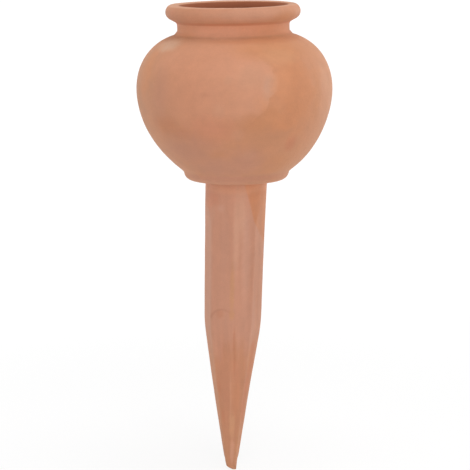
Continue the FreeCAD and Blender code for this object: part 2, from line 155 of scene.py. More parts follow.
# %% A pen that draws the outline of something turned
class Pen:
    """Draws a line of points in the XZ plane, with extrude for straight runs and spin for arcs."""

    def __init__(self, name, start):
        bpy.ops.object.select_all(action="DESELECT")
        bpy.ops.mesh.primitive_plane_add(size=MM)
        self.piece = bpy.context.active_object
        self.piece.name = name
        self.place = Vector(start)
        bpy.ops.object.mode_set(mode="EDIT")
        bpy.ops.mesh.select_mode(type="VERT")
        bpy.ops.mesh.merge(type="CENTER")
        bpy.ops.transform.translate(value=(start[0] * MM, 0, start[1] * MM))

    def straight(self, target, spacing):
        """Runs straight to a target, with a point about every so many millimetres."""
        run = Vector(target) - self.place
        steps = max(1, round(run.length / spacing))
        step = run / steps * MM
        for _ in range(steps):
            extrude((step.x, 0, step.y))
        self.place = Vector(target)

    def arc(self, centre, radius, start, end, spacing):
        """Follows an arc from one angle to another, with a point about every so many millimetres."""
        begin = on_circle(centre, radius, start)
        if (begin - self.place).length > NEAR:
            self.straight(begin, spacing)
        length = abs(math.radians(end - start)) * radius
        bpy.ops.mesh.spin(steps=max(2, round(length / spacing)), angle=math.radians(end - start),
                          center=(centre.x * MM, 0, centre.y * MM), axis=(0, 1, 0))
        self.place = on_circle(centre, radius, end)

    def points(self):
        """How many points the line has so far."""
        return len(bmesh.from_edit_mesh(self.piece.data).verts)

# %% [markdown]
# The jar has four curves: the hip above the foot, the lower and upper belly on either side of
# the widest line, and the shoulder below the neck. The belly arcs have given radii. The hip and
# the shoulder are the arcs that leave the belly smoothly and end at the foot and the neck, and
# their radii follow from that.

# %% Where the jar's curves have their centres
def arc_through(centre, radius, takeover, target):
    """The centre and radius of the arc that leaves another arc smoothly and ends at a target."""
    joint = on_circle(centre, radius, takeover)
    outward = (joint - centre) / radius
    chord = target - joint
    new_radius = chord.length_squared / (-2 * chord.dot(outward))
    return joint - outward * new_radius, new_radius


upper_centre = Vector((BELLY_RADIUS - UPPER_BELLY_CURVE, BELLY_HEIGHT))
lower_centre = Vector((BELLY_RADIUS - LOWER_BELLY_CURVE, BELLY_HEIGHT))
shoulder_start = math.degrees(math.asin(SHOULDER_RISE / UPPER_BELLY_CURVE))
hip_start = -math.degrees(math.asin(HIP_DROP / LOWER_BELLY_CURVE))
neck_foot = Vector((NECK_RADIUS, NECK_BASE))
hip_foot = Vector((FOOT_RADIUS, FOOT_TOP))
shoulder_centre, shoulder_radius = arc_through(upper_centre, UPPER_BELLY_CURVE,
                                               shoulder_start, neck_foot)
hip_centre, hip_radius = arc_through(lower_centre, LOWER_BELLY_CURVE, hip_start, hip_foot)
shoulder_end = angle_of(shoulder_centre, neck_foot)
hip_end = angle_of(hip_centre, hip_foot)
print(f"shoulder radius {shoulder_radius:.1f} mm, hip radius {hip_radius:.1f} mm")

# %% [markdown]
# The outside of the jar is drawn first, from the collar of the spike out along the underside of
# the foot, up the belly, and round the rolled rim to its crest. Points are close together where
# the shape turns sharply, at the foot and the rim, and further apart on the broad belly. The
# collar is where the spike will join, and TO_SMOOTH is how much too thick the spike is drawn,
# because smoothing its corners takes that much off again.

# %% Draw the outside of the jar
FINE = 0.55
MEDIUM = 1.1
BROAD = 1.9
COLLAR_CREASE = 0.8
TO_SMOOTH = 0.3
COLLAR_RADIUS = SPIKE_RADIUS + TO_SMOOTH + COLLAR_CREASE

roll_turn = math.radians(RIM_TURN_ANGLE)
roll_centre = Vector((NECK_RADIUS + RIM_OVERHANG - RIM_ROLL_RADIUS,
                      JAR_HEIGHT - RIM_EDGE_RADIUS
                      - (RIM_ROLL_RADIUS - RIM_EDGE_RADIUS) * math.sin(roll_turn)))
edge_centre = on_circle(roll_centre, RIM_ROLL_RADIUS - RIM_EDGE_RADIUS, RIM_TURN_ANGLE)
roll_start = on_circle(roll_centre, RIM_ROLL_RADIUS, RIM_UNDERSIDE_ANGLE - 90)
underside_slope = math.tan(math.radians(RIM_UNDERSIDE_ANGLE))
rim_crease = Vector((NECK_RADIUS, roll_start.y - (roll_start.x - NECK_RADIUS) * underside_slope))
foot_flat = FOOT_RADIUS - FOOT_EDGE_RADIUS

pen = Pen("clay_body", (COLLAR_RADIUS, 0.0))
pen.straight((foot_flat, 0.0), MEDIUM)
pen.arc(Vector((foot_flat, FOOT_EDGE_RADIUS)), FOOT_EDGE_RADIUS, -90, 0, FINE)
pen.straight(hip_foot, FINE)
pen.arc(hip_centre, hip_radius, hip_end, hip_start, BROAD)
pen.arc(lower_centre, LOWER_BELLY_CURVE, hip_start, 0, BROAD)
pen.arc(upper_centre, UPPER_BELLY_CURVE, 0, shoulder_start, BROAD)
pen.arc(shoulder_centre, shoulder_radius, shoulder_start, shoulder_end, MEDIUM)
pen.straight(rim_crease, MEDIUM)
pen.straight(roll_start, FINE)
pen.arc(roll_centre, RIM_ROLL_RADIUS, RIM_UNDERSIDE_ANGLE - 90, RIM_TURN_ANGLE, FINE)
pen.arc(edge_centre, RIM_EDGE_RADIUS, RIM_TURN_ANGLE, 90, FINE)
print(f"outside of the jar: {pen.points()} points")

# %% [markdown]
# The line goes on over the crest and down the inside. There the wall is the outside moved in by
# its thickness, so the arcs keep their centres and lose the wall from their radii. At the
# bottom a slanted cove leads to the floor, and the floor ends at the round drain into the spike.

# %% Draw the inside of the jar
DRAIN_RADIUS = 14.4
DRAIN_EDGE_RADIUS = 2.5
mouth_radius = NECK_RADIUS - WALL
lip_centre = Vector((mouth_radius + RIM_LIP_RADIUS, JAR_HEIGHT - RIM_LIP_RADIUS))
inner_shoulder = shoulder_radius - WALL
inner_hip = hip_radius - WALL
inner_shoulder_end = math.degrees(math.acos((mouth_radius - shoulder_centre.x) / inner_shoulder))
cove_top = on_circle(hip_centre, inner_hip, hip_end)
cove_foot = Vector((cove_top.x - (cove_top.y - WALL), WALL))
drain_top = WALL - DRAIN_EDGE_RADIUS
drain_centre = Vector((DRAIN_RADIUS + DRAIN_EDGE_RADIUS, drain_top))

pen.arc(lip_centre, RIM_LIP_RADIUS, 90, 180, FINE)
pen.straight(on_circle(shoulder_centre, inner_shoulder, inner_shoulder_end), MEDIUM)
pen.arc(shoulder_centre, inner_shoulder, inner_shoulder_end, shoulder_start, BROAD)
pen.arc(upper_centre, UPPER_BELLY_CURVE - WALL, shoulder_start, 0, BROAD)
pen.arc(lower_centre, LOWER_BELLY_CURVE - WALL, 0, hip_start, BROAD)
pen.arc(hip_centre, inner_hip, hip_start, hip_end, BROAD)
pen.straight(cove_foot, MEDIUM)
pen.straight((drain_centre.x, WALL), MEDIUM)
pen.arc(drain_centre, DRAIN_EDGE_RADIUS, 90, 180, FINE)
print(f"outside and inside: {pen.points()} points")

# %% [markdown]
# Wet clay has no sharp inner corners: the potter's thumb rounds the creases under the rim, where
# the neck meets the shoulder, above the foot, and inside. The points near each of these corners
# are smoothed. This is done on the line, before it is spun, so that it costs almost nothing.

# %% Soften the creases
def soften_crease(corner, reach, repeats):
    """Smooths the outline within a reach of a corner, in millimetres."""
    count = select_points(pen.piece, lambda p: math.dist((p.x, p.z), corner) < reach)
    bpy.ops.mesh.vertices_smooth(factor=0.5, repeat=repeats)
    print(f"crease at a height of {corner.y:.0f} mm: {count} points smoothed")


inner_neck_foot = on_circle(shoulder_centre, inner_shoulder, inner_shoulder_end)
soften_crease(rim_crease, 2.6, 4)
soften_crease(neck_foot, 4.2, 5)
soften_crease(hip_foot, 2.2, 4)
soften_crease(inner_neck_foot, 8.0, 30)
soften_crease(cove_foot, 5.0, 12)
soften_crease(cove_top, 4.0, 8)

# %% [markdown]
# The line is spun once round the jar's axis. Spin merges the last column of a full turn with the
# first by itself. The normals are set right later, once the whole skin of clay is closed.

# %% Spin the jar
bpy.ops.mesh.select_all(action="SELECT")
bpy.ops.mesh.spin(steps=AROUND, angle=2 * math.pi, center=(0, 0, 0), axis=(0, 0, 1))
bpy.ops.object.mode_set(mode="OBJECT")
clay_body = pen.piece
print(f"jar: {len(clay_body.data.polygons)} faces")

# %% [markdown]
# The spike is a long post that leans two degrees, tapers to a point and has eight flats pared
# down it with a knife. It starts as a ring of points at the foot, and each station of a short
# list extrudes the ring down to a new depth and radius. The edges between two stations are then
# subdivided, which gives even rings without typing them all in.

# %% A post extruded from station to station
LEAN_SLOPE = math.tan(math.radians(SPIKE_LEAN))
RING_SPACING = 1.15
HOLLOW_RING_SPACING = 4.0


def centre_at(height):
    """Where the leaning spike's axis is at a height, in metres."""
    return Vector((height * LEAN_SLOPE, 0, height)) * MM


def add_rings(post, upper, lower, count):
    """Divides the upright edges between two heights, which adds rings between them."""
    bpy.ops.mesh.select_mode(type="EDGE")
    bpy.ops.mesh.select_all(action="DESELECT")
    mesh = bmesh.from_edit_mesh(post.data)
    for edge in mesh.edges:
        ends = sorted(point.co.z / MM for point in edge.verts)
        if abs(ends[0] - lower) < NEAR and abs(ends[1] - upper) < NEAR:
            edge.select_set(True)
    bmesh.update_edit_mesh(post.data)
    bpy.ops.mesh.subdivide(number_cuts=count)
    bpy.ops.mesh.select_mode(type="VERT")


def extrude_post(name, stations, spacing):
    """A round post about the leaning axis, from a list of heights and radii in millimetres."""
    height, radius = stations[0]
    bpy.ops.object.select_all(action="DESELECT")
    bpy.ops.mesh.primitive_circle_add(vertices=AROUND, radius=radius * MM, fill_type="NOTHING")
    post = bpy.context.active_object
    post.name = name
    bpy.ops.object.mode_set(mode="EDIT")
    bpy.ops.mesh.select_mode(type="VERT")
    bpy.ops.transform.translate(value=centre_at(height))
    for new_height, new_radius in stations[1:]:
        extrude(centre_at(new_height) - centre_at(height))
        grow = new_radius / radius
        bpy.ops.transform.resize(value=(grow, grow, 1), center_override=centre_at(new_height))
        height, radius = new_height, new_radius
    for (upper, _), (lower, _) in zip(stations, stations[1:]):
        count = round((upper - lower) / spacing) - 1
        if count > 0:
            add_rings(post, upper, lower, count)
    count = select_points(post, lambda p: abs(p.z - height) < NEAR)
    print(f"{name}: {len(stations)} stations, {count} points in the last ring")
    return post

# %% [markdown]
# The outside of the spike starts at the collar, where a small crease meets the foot. It narrows
# a little down to the shoulder of its taper and then runs in to the tip. The corner between the
# two slopes is rounded over a short way, so it gets three stations.

# %% Extrude the outside of the spike
CREASE_MIDDLE_OUT = 0.23
CREASE_MIDDLE_DOWN = 0.25
TAPER_BLEND = 5.6
TAPER_BLEND_SAG = 0.2
TIP_RING_HEIGHT = -184.0

shank_slope = (SPIKE_RADIUS - TAPER_RADIUS) / TAPER_START
taper_slope = (TAPER_RADIUS - TIP_RADIUS) / (SPIKE_LENGTH - TAPER_START)
shank_top = SPIKE_RADIUS + TO_SMOOTH
taper_top = TAPER_RADIUS + TO_SMOOTH
tip_ring_radius = TAPER_RADIUS - (-TIP_RING_HEIGHT - TAPER_START) * taper_slope

spike_skin = extrude_post("spike_skin", [
    (0.0, COLLAR_RADIUS),
    (-CREASE_MIDDLE_DOWN, shank_top + CREASE_MIDDLE_OUT),
    (-COLLAR_CREASE, shank_top),
    (TAPER_BLEND - TAPER_START, taper_top + TAPER_BLEND * shank_slope),
    (-TAPER_START, taper_top - TAPER_BLEND_SAG),
    (-TAPER_START - TAPER_BLEND, taper_top - TAPER_BLEND * taper_slope),
    (TIP_RING_HEIGHT, tip_ring_radius),
], RING_SPACING)

# %% [markdown]
# The tip was cut off on a slant with a wire and then dulled with a finger. The last ring is
# extruded to the cut, widened a little and turned, which makes it lie in the slanted plane. Four
# rings, each smaller than the one before and pushed out less, round the end off, and a last one
# is merged to the point that closes it.

# %% Close the slanted tip
ROUNDED_END = 1.0
END_RINGS = ((0.9, 0.35), (0.78, 0.25), (0.6, 0.1), (0.4, 0.0))

slant = math.radians(TIP_SLANT)
slant_height = (TIP_RADIUS + ROUNDED_END) * math.tan(slant) - SPIKE_LENGTH
slant_radius = TAPER_RADIUS - (-slant_height - TAPER_START) * taper_slope
slant_centre = centre_at(slant_height)
outward = Vector((-math.sin(slant), 0, -math.cos(slant)))

extrude(slant_centre - centre_at(TIP_RING_HEIGHT))
flatten = slant_radius / tip_ring_radius
bpy.ops.transform.resize(value=(flatten / math.cos(slant), flatten, 1), center_override=slant_centre)
bpy.ops.transform.rotate(value=-slant, orient_axis="Y", center_override=slant_centre)
for shrink, push in END_RINGS:
    extrude(outward * push * MM)
    slant_centre = slant_centre + outward * push * MM
    bpy.ops.transform.resize(value=(shrink, shrink, shrink), center_override=slant_centre)
extrude()
bpy.ops.mesh.merge(type="CENTER")
bpy.ops.object.mode_set(mode="OBJECT")
print(f"spike: {len(spike_skin.data.polygons)} faces")

# %% [markdown]
# The flats are already true in the CAD model, where they start as arches below the foot and run
# out at the tip. The fine rings are wrapped on them with a Shrinkwrap modifier: each point looks
# straight in, and where a flat lies under it, it moves there, or as far above it as smoothing
# will take off again. The round collar and the tip stay as they are. A Smooth modifier then
# softens the corners, as a wet thumb does.

# %% Wrap the spike on the pared flats
FLATS_TOP = -6.0
FLATS_END = -181.0
PARING_DEPTH = 2.2


def group_points(piece, name, chosen):
    """A vertex group of the points whose place (in millimetres) passes a test."""
    group = piece.vertex_groups.new(name=name)
    members = [point.index for point in piece.data.vertices if chosen(point.co / MM)]
    group.add(members, 1.0, "REPLACE")
    print(f"{name}: {len(members)} points")
    return group.name


def apply_modifiers(piece):
    """Applies a piece's modifiers in order."""
    bpy.ops.object.select_all(action="DESELECT")
    piece.select_set(True)
    bpy.context.view_layer.objects.active = piece
    for modifier in list(piece.modifiers):
        bpy.ops.object.modifier_apply(modifier=modifier.name)


bpy.ops.object.mode_set(mode="EDIT")
bpy.ops.mesh.select_all(action="SELECT")
bpy.ops.mesh.normals_make_consistent(inside=False)
bpy.ops.object.mode_set(mode="OBJECT")
flats_group = group_points(spike_skin, "flats", lambda p: FLATS_END < p.z < FLATS_TOP)
wrap = spike_skin.modifiers.new("Wrap", "SHRINKWRAP")
wrap.target = frame["nodes"][CAD_NODE]
wrap.wrap_method = "PROJECT"
wrap.use_positive_direction = False
wrap.use_negative_direction = True
wrap.project_limit = PARING_DEPTH * MM
wrap.offset = TO_SMOOTH * MM
wrap.vertex_group = flats_group
soften = spike_skin.modifiers.new("Soften", "SMOOTH")
soften.factor = 0.5
soften.iterations = 6
soften.vertex_group = flats_group
apply_modifiers(spike_skin)

# %% [markdown]
# The hollow of the spike is a second, smaller post. It leaves the drain in the jar's floor, runs
# down inside the first one and ends well above the tip, where the clay is solid.

# %% Extrude the hollow of the spike
hollow_skin = extrude_post("hollow_skin", [
    (drain_top, DRAIN_RADIUS),
    (-TAPER_START, TAPER_RADIUS - SPIKE_WALL),
    (-HOLLOW_DEPTH, HOLLOW_END_RADIUS),
], HOLLOW_RING_SPACING)
extrude()
bpy.ops.mesh.merge(type="CENTER")
bpy.ops.object.mode_set(mode="OBJECT")

# %% [markdown]
# The three skins become one closed skin of clay. Their rings have the same number of points, so
# where two rings meet, at the collar and at the drain, merging doubles closes the seam. Then the
# normals are set to point out of the clay, and the volume is measured as a check.

# %% Join the skins
SEAM = 0.2

bpy.ops.object.select_all(action="DESELECT")
for skin in (spike_skin, hollow_skin, clay_body):
    skin.select_set(True)
bpy.context.view_layer.objects.active = clay_body
bpy.ops.object.join()
bpy.ops.object.mode_set(mode="EDIT")
for radius, height in ((COLLAR_RADIUS, 0.0), (DRAIN_RADIUS, drain_top)):
    select_points(clay_body, lambda p: abs(p.z - height) < NEAR
                  and abs(math.hypot(p.x, p.y) - radius) < SEAM)
    bpy.ops.mesh.remove_doubles(threshold=SEAM * MM)
bpy.ops.mesh.select_all(action="SELECT")
bpy.ops.mesh.normals_make_consistent(inside=False)
mesh = bmesh.from_edit_mesh(clay_body.data)
open_edges = sum(not edge.is_manifold for edge in mesh.edges)
volume = mesh.calc_volume(signed=True) / MM ** 3 / 1000
bpy.ops.object.mode_set(mode="OBJECT")
bpy.ops.object.shade_smooth()
print(f"clay body: {len(clay_body.data.polygons)} faces, {open_edges} open edges, "
      f"{volume:.1f} cubic centimetres")

# %% [markdown]
# Nothing thrown and joined by hand is quite true. This jar's rings tilt by half a degree, its foot
# was trimmed a little off centre, and its spike bowed as it dried. A lattice does that to the whole
# piece at once: it is a cage of sixteen levels, two points wide and deep. Each level is moved to
# the right and up by parts of a millimetre, and tilted, so that its left side rises. The top one
# also nods forward a little, and with it the rim. Tilt and nod are slopes.

# %% Let the clay sag in a lattice
CAGE_LOW = -195.0
CAGE_HIGH = 115.0
CAGE_WIDTH = 130.0
POINTS_IN_A_LEVEL = 4
FOOT_TILT = 0.014
RING_TILT = 0.0085
RIM_TILT = 0.005
RIM_NOD = 0.006
LEVELS = (
    (0.1, 0, 0), (-0.25, 0, 0), (-0.5, 0, 0), (-0.75, 0, 0), (-0.72, 0, 0), (-0.62, 0, 0),
    (-0.53, 0, 0), (-0.42, 0, 0), (-0.25, 0, 0), (-0.1, 0, FOOT_TILT), (0.75, 0, FOOT_TILT),
    (0, 0, RING_TILT), (0, 0.1, RING_TILT), (0, 0.35, RIM_TILT), (0, 0.15, RIM_TILT),
    (0, 0, RIM_TILT),
)

bpy.ops.object.select_all(action="DESELECT")
bpy.ops.object.add(type="LATTICE", location=(0, 0, (CAGE_LOW + CAGE_HIGH) / 2 * MM))
cage = bpy.context.active_object
cage_size = Vector((CAGE_WIDTH, CAGE_WIDTH, CAGE_HIGH - CAGE_LOW))
cage.scale = cage_size * MM
cage.data.points_u, cage.data.points_v, cage.data.points_w = 2, 2, len(LEVELS)
cage.data.interpolation_type_u = cage.data.interpolation_type_v = "KEY_LINEAR"
for number, point in enumerate(cage.data.points):
    level = number // POINTS_IN_A_LEVEL
    sideways, upwards, tilt = LEVELS[level]
    nod = RIM_NOD if level == len(LEVELS) - 1 else 0
    point.co_deform.x += sideways / cage_size.x
    rise = upwards - tilt * point.co.x * cage_size.x + nod * point.co.y * cage_size.y
    point.co_deform.z += rise / cage_size.z
sag = clay_body.modifiers.new("Sag", "LATTICE")
sag.object = cage
apply_modifiers(clay_body)
bpy.data.objects.remove(cage)
print(f"sagged in a cage of {len(LEVELS)} levels")

# %% [markdown]
# Fingers leave the surface slightly uneven. A Displace modifier with a cloud texture moves it in
# and out by less than a fifth of a millimetre, over stretches as wide as a thumb.

# %% Leave the marks of fingers
THUMB_WIDTH = 24.0
UNEVENNESS = 0.4

unevenness = bpy.data.textures.new("unevenness", "CLOUDS")
unevenness.noise_scale = THUMB_WIDTH * MM
fingers = clay_body.modifiers.new("Fingers", "DISPLACE")
fingers.texture = unevenness
fingers.texture_coords = "LOCAL"
fingers.strength = UNEVENNESS * MM
apply_modifiers(clay_body)
print(f"uneven by {UNEVENNESS / 2:.1f} mm to either side")

# %% [markdown]
# A crumb of clay stuck in the crease where the neck meets the shoulder. With proportional editing
# a point or two drag their neighbours along, which pulls a small soft lump out of the surface.

# %% Stick a crumb on the neck
CRUMB = Vector((-10.9, -34.8, 92.0))
CRUMB_FACES = Vector((-10.9, -34.8, 12.0)).normalized()
CRUMB_MIDDLE = 1.1
CRUMB_RADIUS = 2.6
CRUMB_RISE = 0.7

bpy.ops.object.mode_set(mode="EDIT")
found = select_points(clay_body, lambda p: (p - CRUMB).length < CRUMB_MIDDLE)
bpy.ops.transform.translate(value=CRUMB_FACES * CRUMB_RISE * MM, use_proportional_edit=True,
                            proportional_edit_falloff="SMOOTH",
                            proportional_size=CRUMB_RADIUS * MM)
bpy.ops.object.mode_set(mode="OBJECT")
print(f"crumb: {found} points")

# %% [markdown]
# Terracotta is baked earth. Iron in the clay fires to orange, and salts that come out while the
# jar dries leave a thin, pale, pinkish bloom on the outside. Where the wet clay was handled or
# where slip ran, it stays more orange, ochre or brown. None of this is glossy.
#
# Such a finish could be painted on a texture. Here it is built from nodes that work in the space
# of the clay itself, so it has no seams and is as sharp near as far. The helper below keeps that
# readable: each of its steps adds one labelled node and gives back its output. It also keeps the
# colour so far, on which one shade after another is laid.

# %% A helper that builds a finish in small steps
def tone(red, green, blue):
    """A colour as read off a screen, 0 to 255, turned into the linear light that Blender mixes."""
    linear = Color((red / 255, green / 255, blue / 255)).from_srgb_to_scene_linear()
    return (linear.r, linear.g, linear.b, 1.0)


class Finish:
    """One material, built out of small labelled nodes."""

    def __init__(self, name, colour):
        self.material = bpy.data.materials.new(name)
        self.material.use_nodes = True
        self.tree = self.material.node_tree
        self.shader = self.tree.nodes["Principled BSDF"]
        self.colour = colour

    def node(self, kind, label, *inputs, **settings):
        """Adds a node. Its inputs, in order, are plain values or outputs of other nodes."""
        made = self.tree.nodes.new(kind)
        made.label = label
        for name, value in settings.items():
            setattr(made, name, value)
        for socket, value in zip(made.inputs, inputs):
            self.feed(socket, value)
        return made

    def feed(self, socket, value):
        """Links an output to a socket, or sets the socket to a plain value."""
        if isinstance(value, bpy.types.NodeSocket):
            self.tree.links.new(value, socket)
        else:
            socket.default_value = value

    def maths(self, label, operation, *values):
        """A sum of two values, the larger of two, and so on."""
        return self.node("ShaderNodeMath", label, *values, operation=operation).outputs[0]

    def times(self, label, product, *factors):
        """A product of two or more values."""
        for factor in factors:
            product = self.maths(label, "MULTIPLY", product, factor)
        return product

    def fade(self, label, value, start, end):
        """0 before the start, 1 after the end, and a smooth step in between."""
        step = self.node("ShaderNodeMapRange", label, value, start, end,
                         interpolation_type="SMOOTHSTEP")
        return step.outputs["Result"]

    def stretch(self, label, place, scale):
        """Stretches or squeezes a space, for example to draw a noise out into streaks."""
        mapping = self.node("ShaderNodeMapping", label, place)
        mapping.inputs["Scale"].default_value = scale
        return mapping.outputs["Vector"]

    def noise(self, label, place, size, detail=3.0, roughness=0.5):
        """Soft random clouds of about a size, around a middle value of 0.5."""
        clouds = self.node("ShaderNodeTexNoise", label)
        self.feed(clouds.inputs["Vector"], place)
        clouds.inputs["Scale"].default_value = 1 / size
        clouds.inputs["Detail"].default_value = detail
        clouds.inputs["Roughness"].default_value = roughness
        return clouds.outputs[0]

    def blend(self, label, under, over, amount):
        """Lays one colour over another, by an amount from 0 to 1."""
        # A Mix node has its colours at 6 and 7, after its sockets for values and vectors.
        mixer = self.node("ShaderNodeMix", label, data_type="RGBA")
        self.feed(mixer.inputs[0], amount)
        self.feed(mixer.inputs[6], under)
        self.feed(mixer.inputs[7], over)
        return mixer.outputs[2]

    def lay(self, label, shade, amount, strength=1.0):
        """Lays a shade over the colour so far, and gives back how much of it shows."""
        amount = self.times(label, amount, strength)
        self.colour = self.blend(label, self.colour, shade, amount)
        return amount

# %% [markdown]
# A potter would say where a stain is by how far round the pot and how high up it sits. The same
# chart is worked out here from Object coordinates, which are the metres of the clay body: the
# angle round the axis in degrees, 0 at the front and positive to the right, and the height in
# millimetres. Below the foot the axis leans, so the chart leans with it.

# %% A chart of the clay: how far round and how high
CLAY = tone(204, 145, 110)

clay = Finish("terracotta", CLAY)
spot = clay.node("ShaderNodeTexCoord", "place in the clay").outputs["Object"]
spot = clay.stretch("in millimetres", spot, (1 / MM, 1 / MM, 1 / MM))
across, depth, height = clay.node("ShaderNodeSeparateXYZ", "apart", spot).outputs
below_foot = clay.maths("below the foot", "MINIMUM", height, 0.0)
axis_shift = clay.times("lean of the axis", below_foot, LEAN_SLOPE)
across = clay.maths("across from the axis", "SUBTRACT", across, axis_shift)
forward = clay.times("towards the front", depth, -1.0)
turn = clay.maths("turn", "ARCTAN2", across, forward)
around = clay.times("degrees round", turn, math.degrees(1))
chart = clay.node("ShaderNodeCombineXYZ", "chart", around, height).outputs[0]
print(f"chart: {len(clay.tree.nodes)} nodes so far")

# %% [markdown]
# On the fired orange clay lie wide soft clouds of a warmer and a pinker shade. Three more noises
# are made here for the grain: smaller mottling, one that is squeezed flat for the faint rings of
# throwing on the jar, and one that is drawn out tall for the strokes of the knife on the spike.

# %% The colour of the fired clay
WARM = tone(199, 142, 107)
PINKISH = tone(205, 148, 117)
SPIKE_CLAY = tone(201, 143, 111)

clouds = clay.noise("wide clouds", spot, 38.0)
mottle = clay.noise("mottling", spot, 7.0, detail=5.0, roughness=0.6)
rings = clay.noise("throwing rings", clay.stretch("flat", spot, (0.02, 0.02, 1)), 2.4)
strokes = clay.noise("knife strokes", clay.stretch("tall", spot, (1, 1, 0.03)), 3.4)
on_spike = clay.fade("below the foot", height, 1.0, -3.0)
on_jar = clay.maths("on the jar", "SUBTRACT", 1.0, on_spike)

clay.lay("warm clouds", WARM, clay.fade("warm where", clouds, 0.5, 0.68), 0.6)
clay.lay("pinkish clouds", PINKISH, clay.fade("pink where", clouds, 0.5, 0.34), 0.6)
clay.lay("clay of the spike", SPIKE_CLAY, on_spike, 0.8)
print(f"fired clay: {len(clay.tree.nodes)} nodes so far")

# %% [markdown]
# A stain is a handful of soft ovals on the chart that melt into one. A fine noise frays their
# edges, as when a wet patch dries. Each oval is written as how far round and how high its middle
# is, in degrees and millimetres, and then half its width and half its height in the same units.
# The strength is how much of the shade shows, soft how wide its edge melts, and frayed how
# ragged that edge is. A stain within an amount shows only as far as that amount does.

# %% A helper for stains
frays = clay.noise("frays", spot, 6.5, detail=4.0, roughness=0.6)


def oval_reach(label, middle_round, middle_high, half_width, half_height):
    """How far a point of the chart is from the middle of an oval: 0 there, and 1 on its edge."""
    squeezed = clay.node("ShaderNodeVectorMath", label, chart, (half_width, half_height, 1),
                         operation="DIVIDE").outputs[0]
    middle = (middle_round / half_width, middle_high / half_height, 0)
    return clay.node("ShaderNodeVectorMath", label, squeezed, middle,
                     operation="DISTANCE").outputs["Value"]


def stain(label, shade, ovals, strength, soft=0.5, frayed=0.5, within=None):
    """Lays a stain over the colour so far, and gives back how much of it shows."""
    nearest = None
    for middle_round, middle_high, half_width, half_height in ovals:
        reach = oval_reach(label, middle_round, middle_high, half_width, half_height)
        nearest = reach if nearest is None else clay.maths(label, "MINIMUM", nearest, reach)
    ragged = clay.maths(label, "MULTIPLY_ADD", frays, 2 * frayed, -frayed)
    reach = clay.maths(label, "ADD", nearest, ragged)
    amount = clay.fade(label, reach, 1 + soft, 1 - soft)
    if within is not None:
        amount = clay.times(label, amount, within)
    print(f"stain: {label}, ovals: {len(ovals)}")
    return clay.lay(label, shade, amount, strength)

# %% [markdown]
# The broad patch on the front of the belly is bloom that dried from a puddle of slip. Its right
# edge is a crisp tide mark, palest and greyest just inside it, and it fades out to the left,
# upwards and below. So the ovals have a hard edge here, and three fades take their other sides
# away. Smaller spots of bloom lie about it, on the shoulder and on the foot.

# %% Bloom on the belly
PALE_BLOOM = tone(209, 157, 127)

stain("thin bloom", tone(217, 155, 124), [(-20, 79, 36, 12), (-26, 60, 21, 21)], 0.6, soft=0.6)
fades_out = clay.times("fades out",
                       clay.fade("to the left", around, -32.0, 12.0),
                       clay.fade("upwards", height, 89.0, 72.0),
                       clay.fade("below", height, 38.0, 50.0))
bloom = stain("bloom with a tide mark", tone(218, 160, 129),
              [(0, 67.5, 25.3, 17.5), (-4, 55, 20, 17), (6, 55.5, 14, 12)],
              0.8, soft=0.04, frayed=0.17, within=fades_out)
stain("palest bloom", PALE_BLOOM, [(10, 70, 9, 7)], 0.6, frayed=0.4, within=bloom)
stain("grey edge of the bloom", tone(205, 164, 141), [(22.2, 61.5, 5.5, 9)], 0.65, frayed=0.3,
      within=bloom)
stain("bloom on the shoulder", tone(214, 177, 150), [(-60, 87.5, 12, 3.4)], 0.6, soft=0.6)
stain("small pale spots", PALE_BLOOM, [(-9, 49.2, 2.9, 4.0), (1.1, 34.5, 3.7, 3.6),
      (9, 20.4, 4.5, 3.2), (67, 65, 5, 8), (-3.6, 68.5, 2.2, 2.6)], 0.35, soft=0.6)
stain("pale foot", tone(220, 161, 133), [(-24, 3.4, 34, 2.6)], 0.6, soft=0.6)
stain("rubbed spot", tone(192, 132, 103), [(-16.8, 59.4, 2.6, 1.4)], 0.25, soft=0.8)

# %% [markdown]
# Where there is no bloom the clay is a clear orange, most of all on the right of the belly. Ochre
# and brown patches are clay with a little more or less iron, and close to the foot a greyish
# mauve shows where the jar stood drying.

# %% Bare clay, ochre and mauve on the jar
ORANGE = tone(211, 144, 102)
RUST = tone(200, 122, 91)
MAUVE = tone(196, 141, 116)

stain("orange belly", ORANGE, [(39, 58, 14, 23), (31, 42, 10, 7), (-67, 71, 7, 14)], 0.6)
stain("ochre shoulder", tone(208, 144, 101), [(28, 86, 24, 6), (15, 85.5, 9, 3)], 0.6, soft=0.6)
stain("light orange shoulder", tone(218, 162, 122), [(31, 81, 13, 4.5)], 0.4)
stain("light orange beside the bloom", tone(221, 157, 116), [(21, 50, 8, 9), (28, 65, 6.5, 12)],
      0.5, soft=0.7)
stain("ochre patches", tone(204, 142, 102), [(13.6, 41.5, 9.5, 6), (20, 47, 6, 4), (34, 12, 13, 7),
      (55.5, 56, 3.5, 17), (-12, 21.4, 8, 2.6)], 0.6, soft=0.6)
stain("brown patches", tone(191, 125, 90), [(-47, 39, 10, 6), (-37, 35, 7, 4)], 0.45, soft=0.8)
stain("red brown patch", tone(211, 144, 113), [(-15, 37, 14, 8)], 0.6, soft=0.7)
stain("rusty spots", RUST, [(40, 27, 4, 4.2), (-63, 107, 6, 2.4), (-64, 96.8, 6, 3.4)], 0.4,
      soft=0.7)
stain("mauve by the foot", MAUVE, [(-36, 23, 21, 10), (-14, 12.5, 34, 7), (6, 15, 15, 9),
      (0, 4, 60, 3)], 0.75, soft=0.75)
stain("mauve band on the left", MAUVE, [(-48.7, 60, 6, 13)], 0.4, soft=0.8)
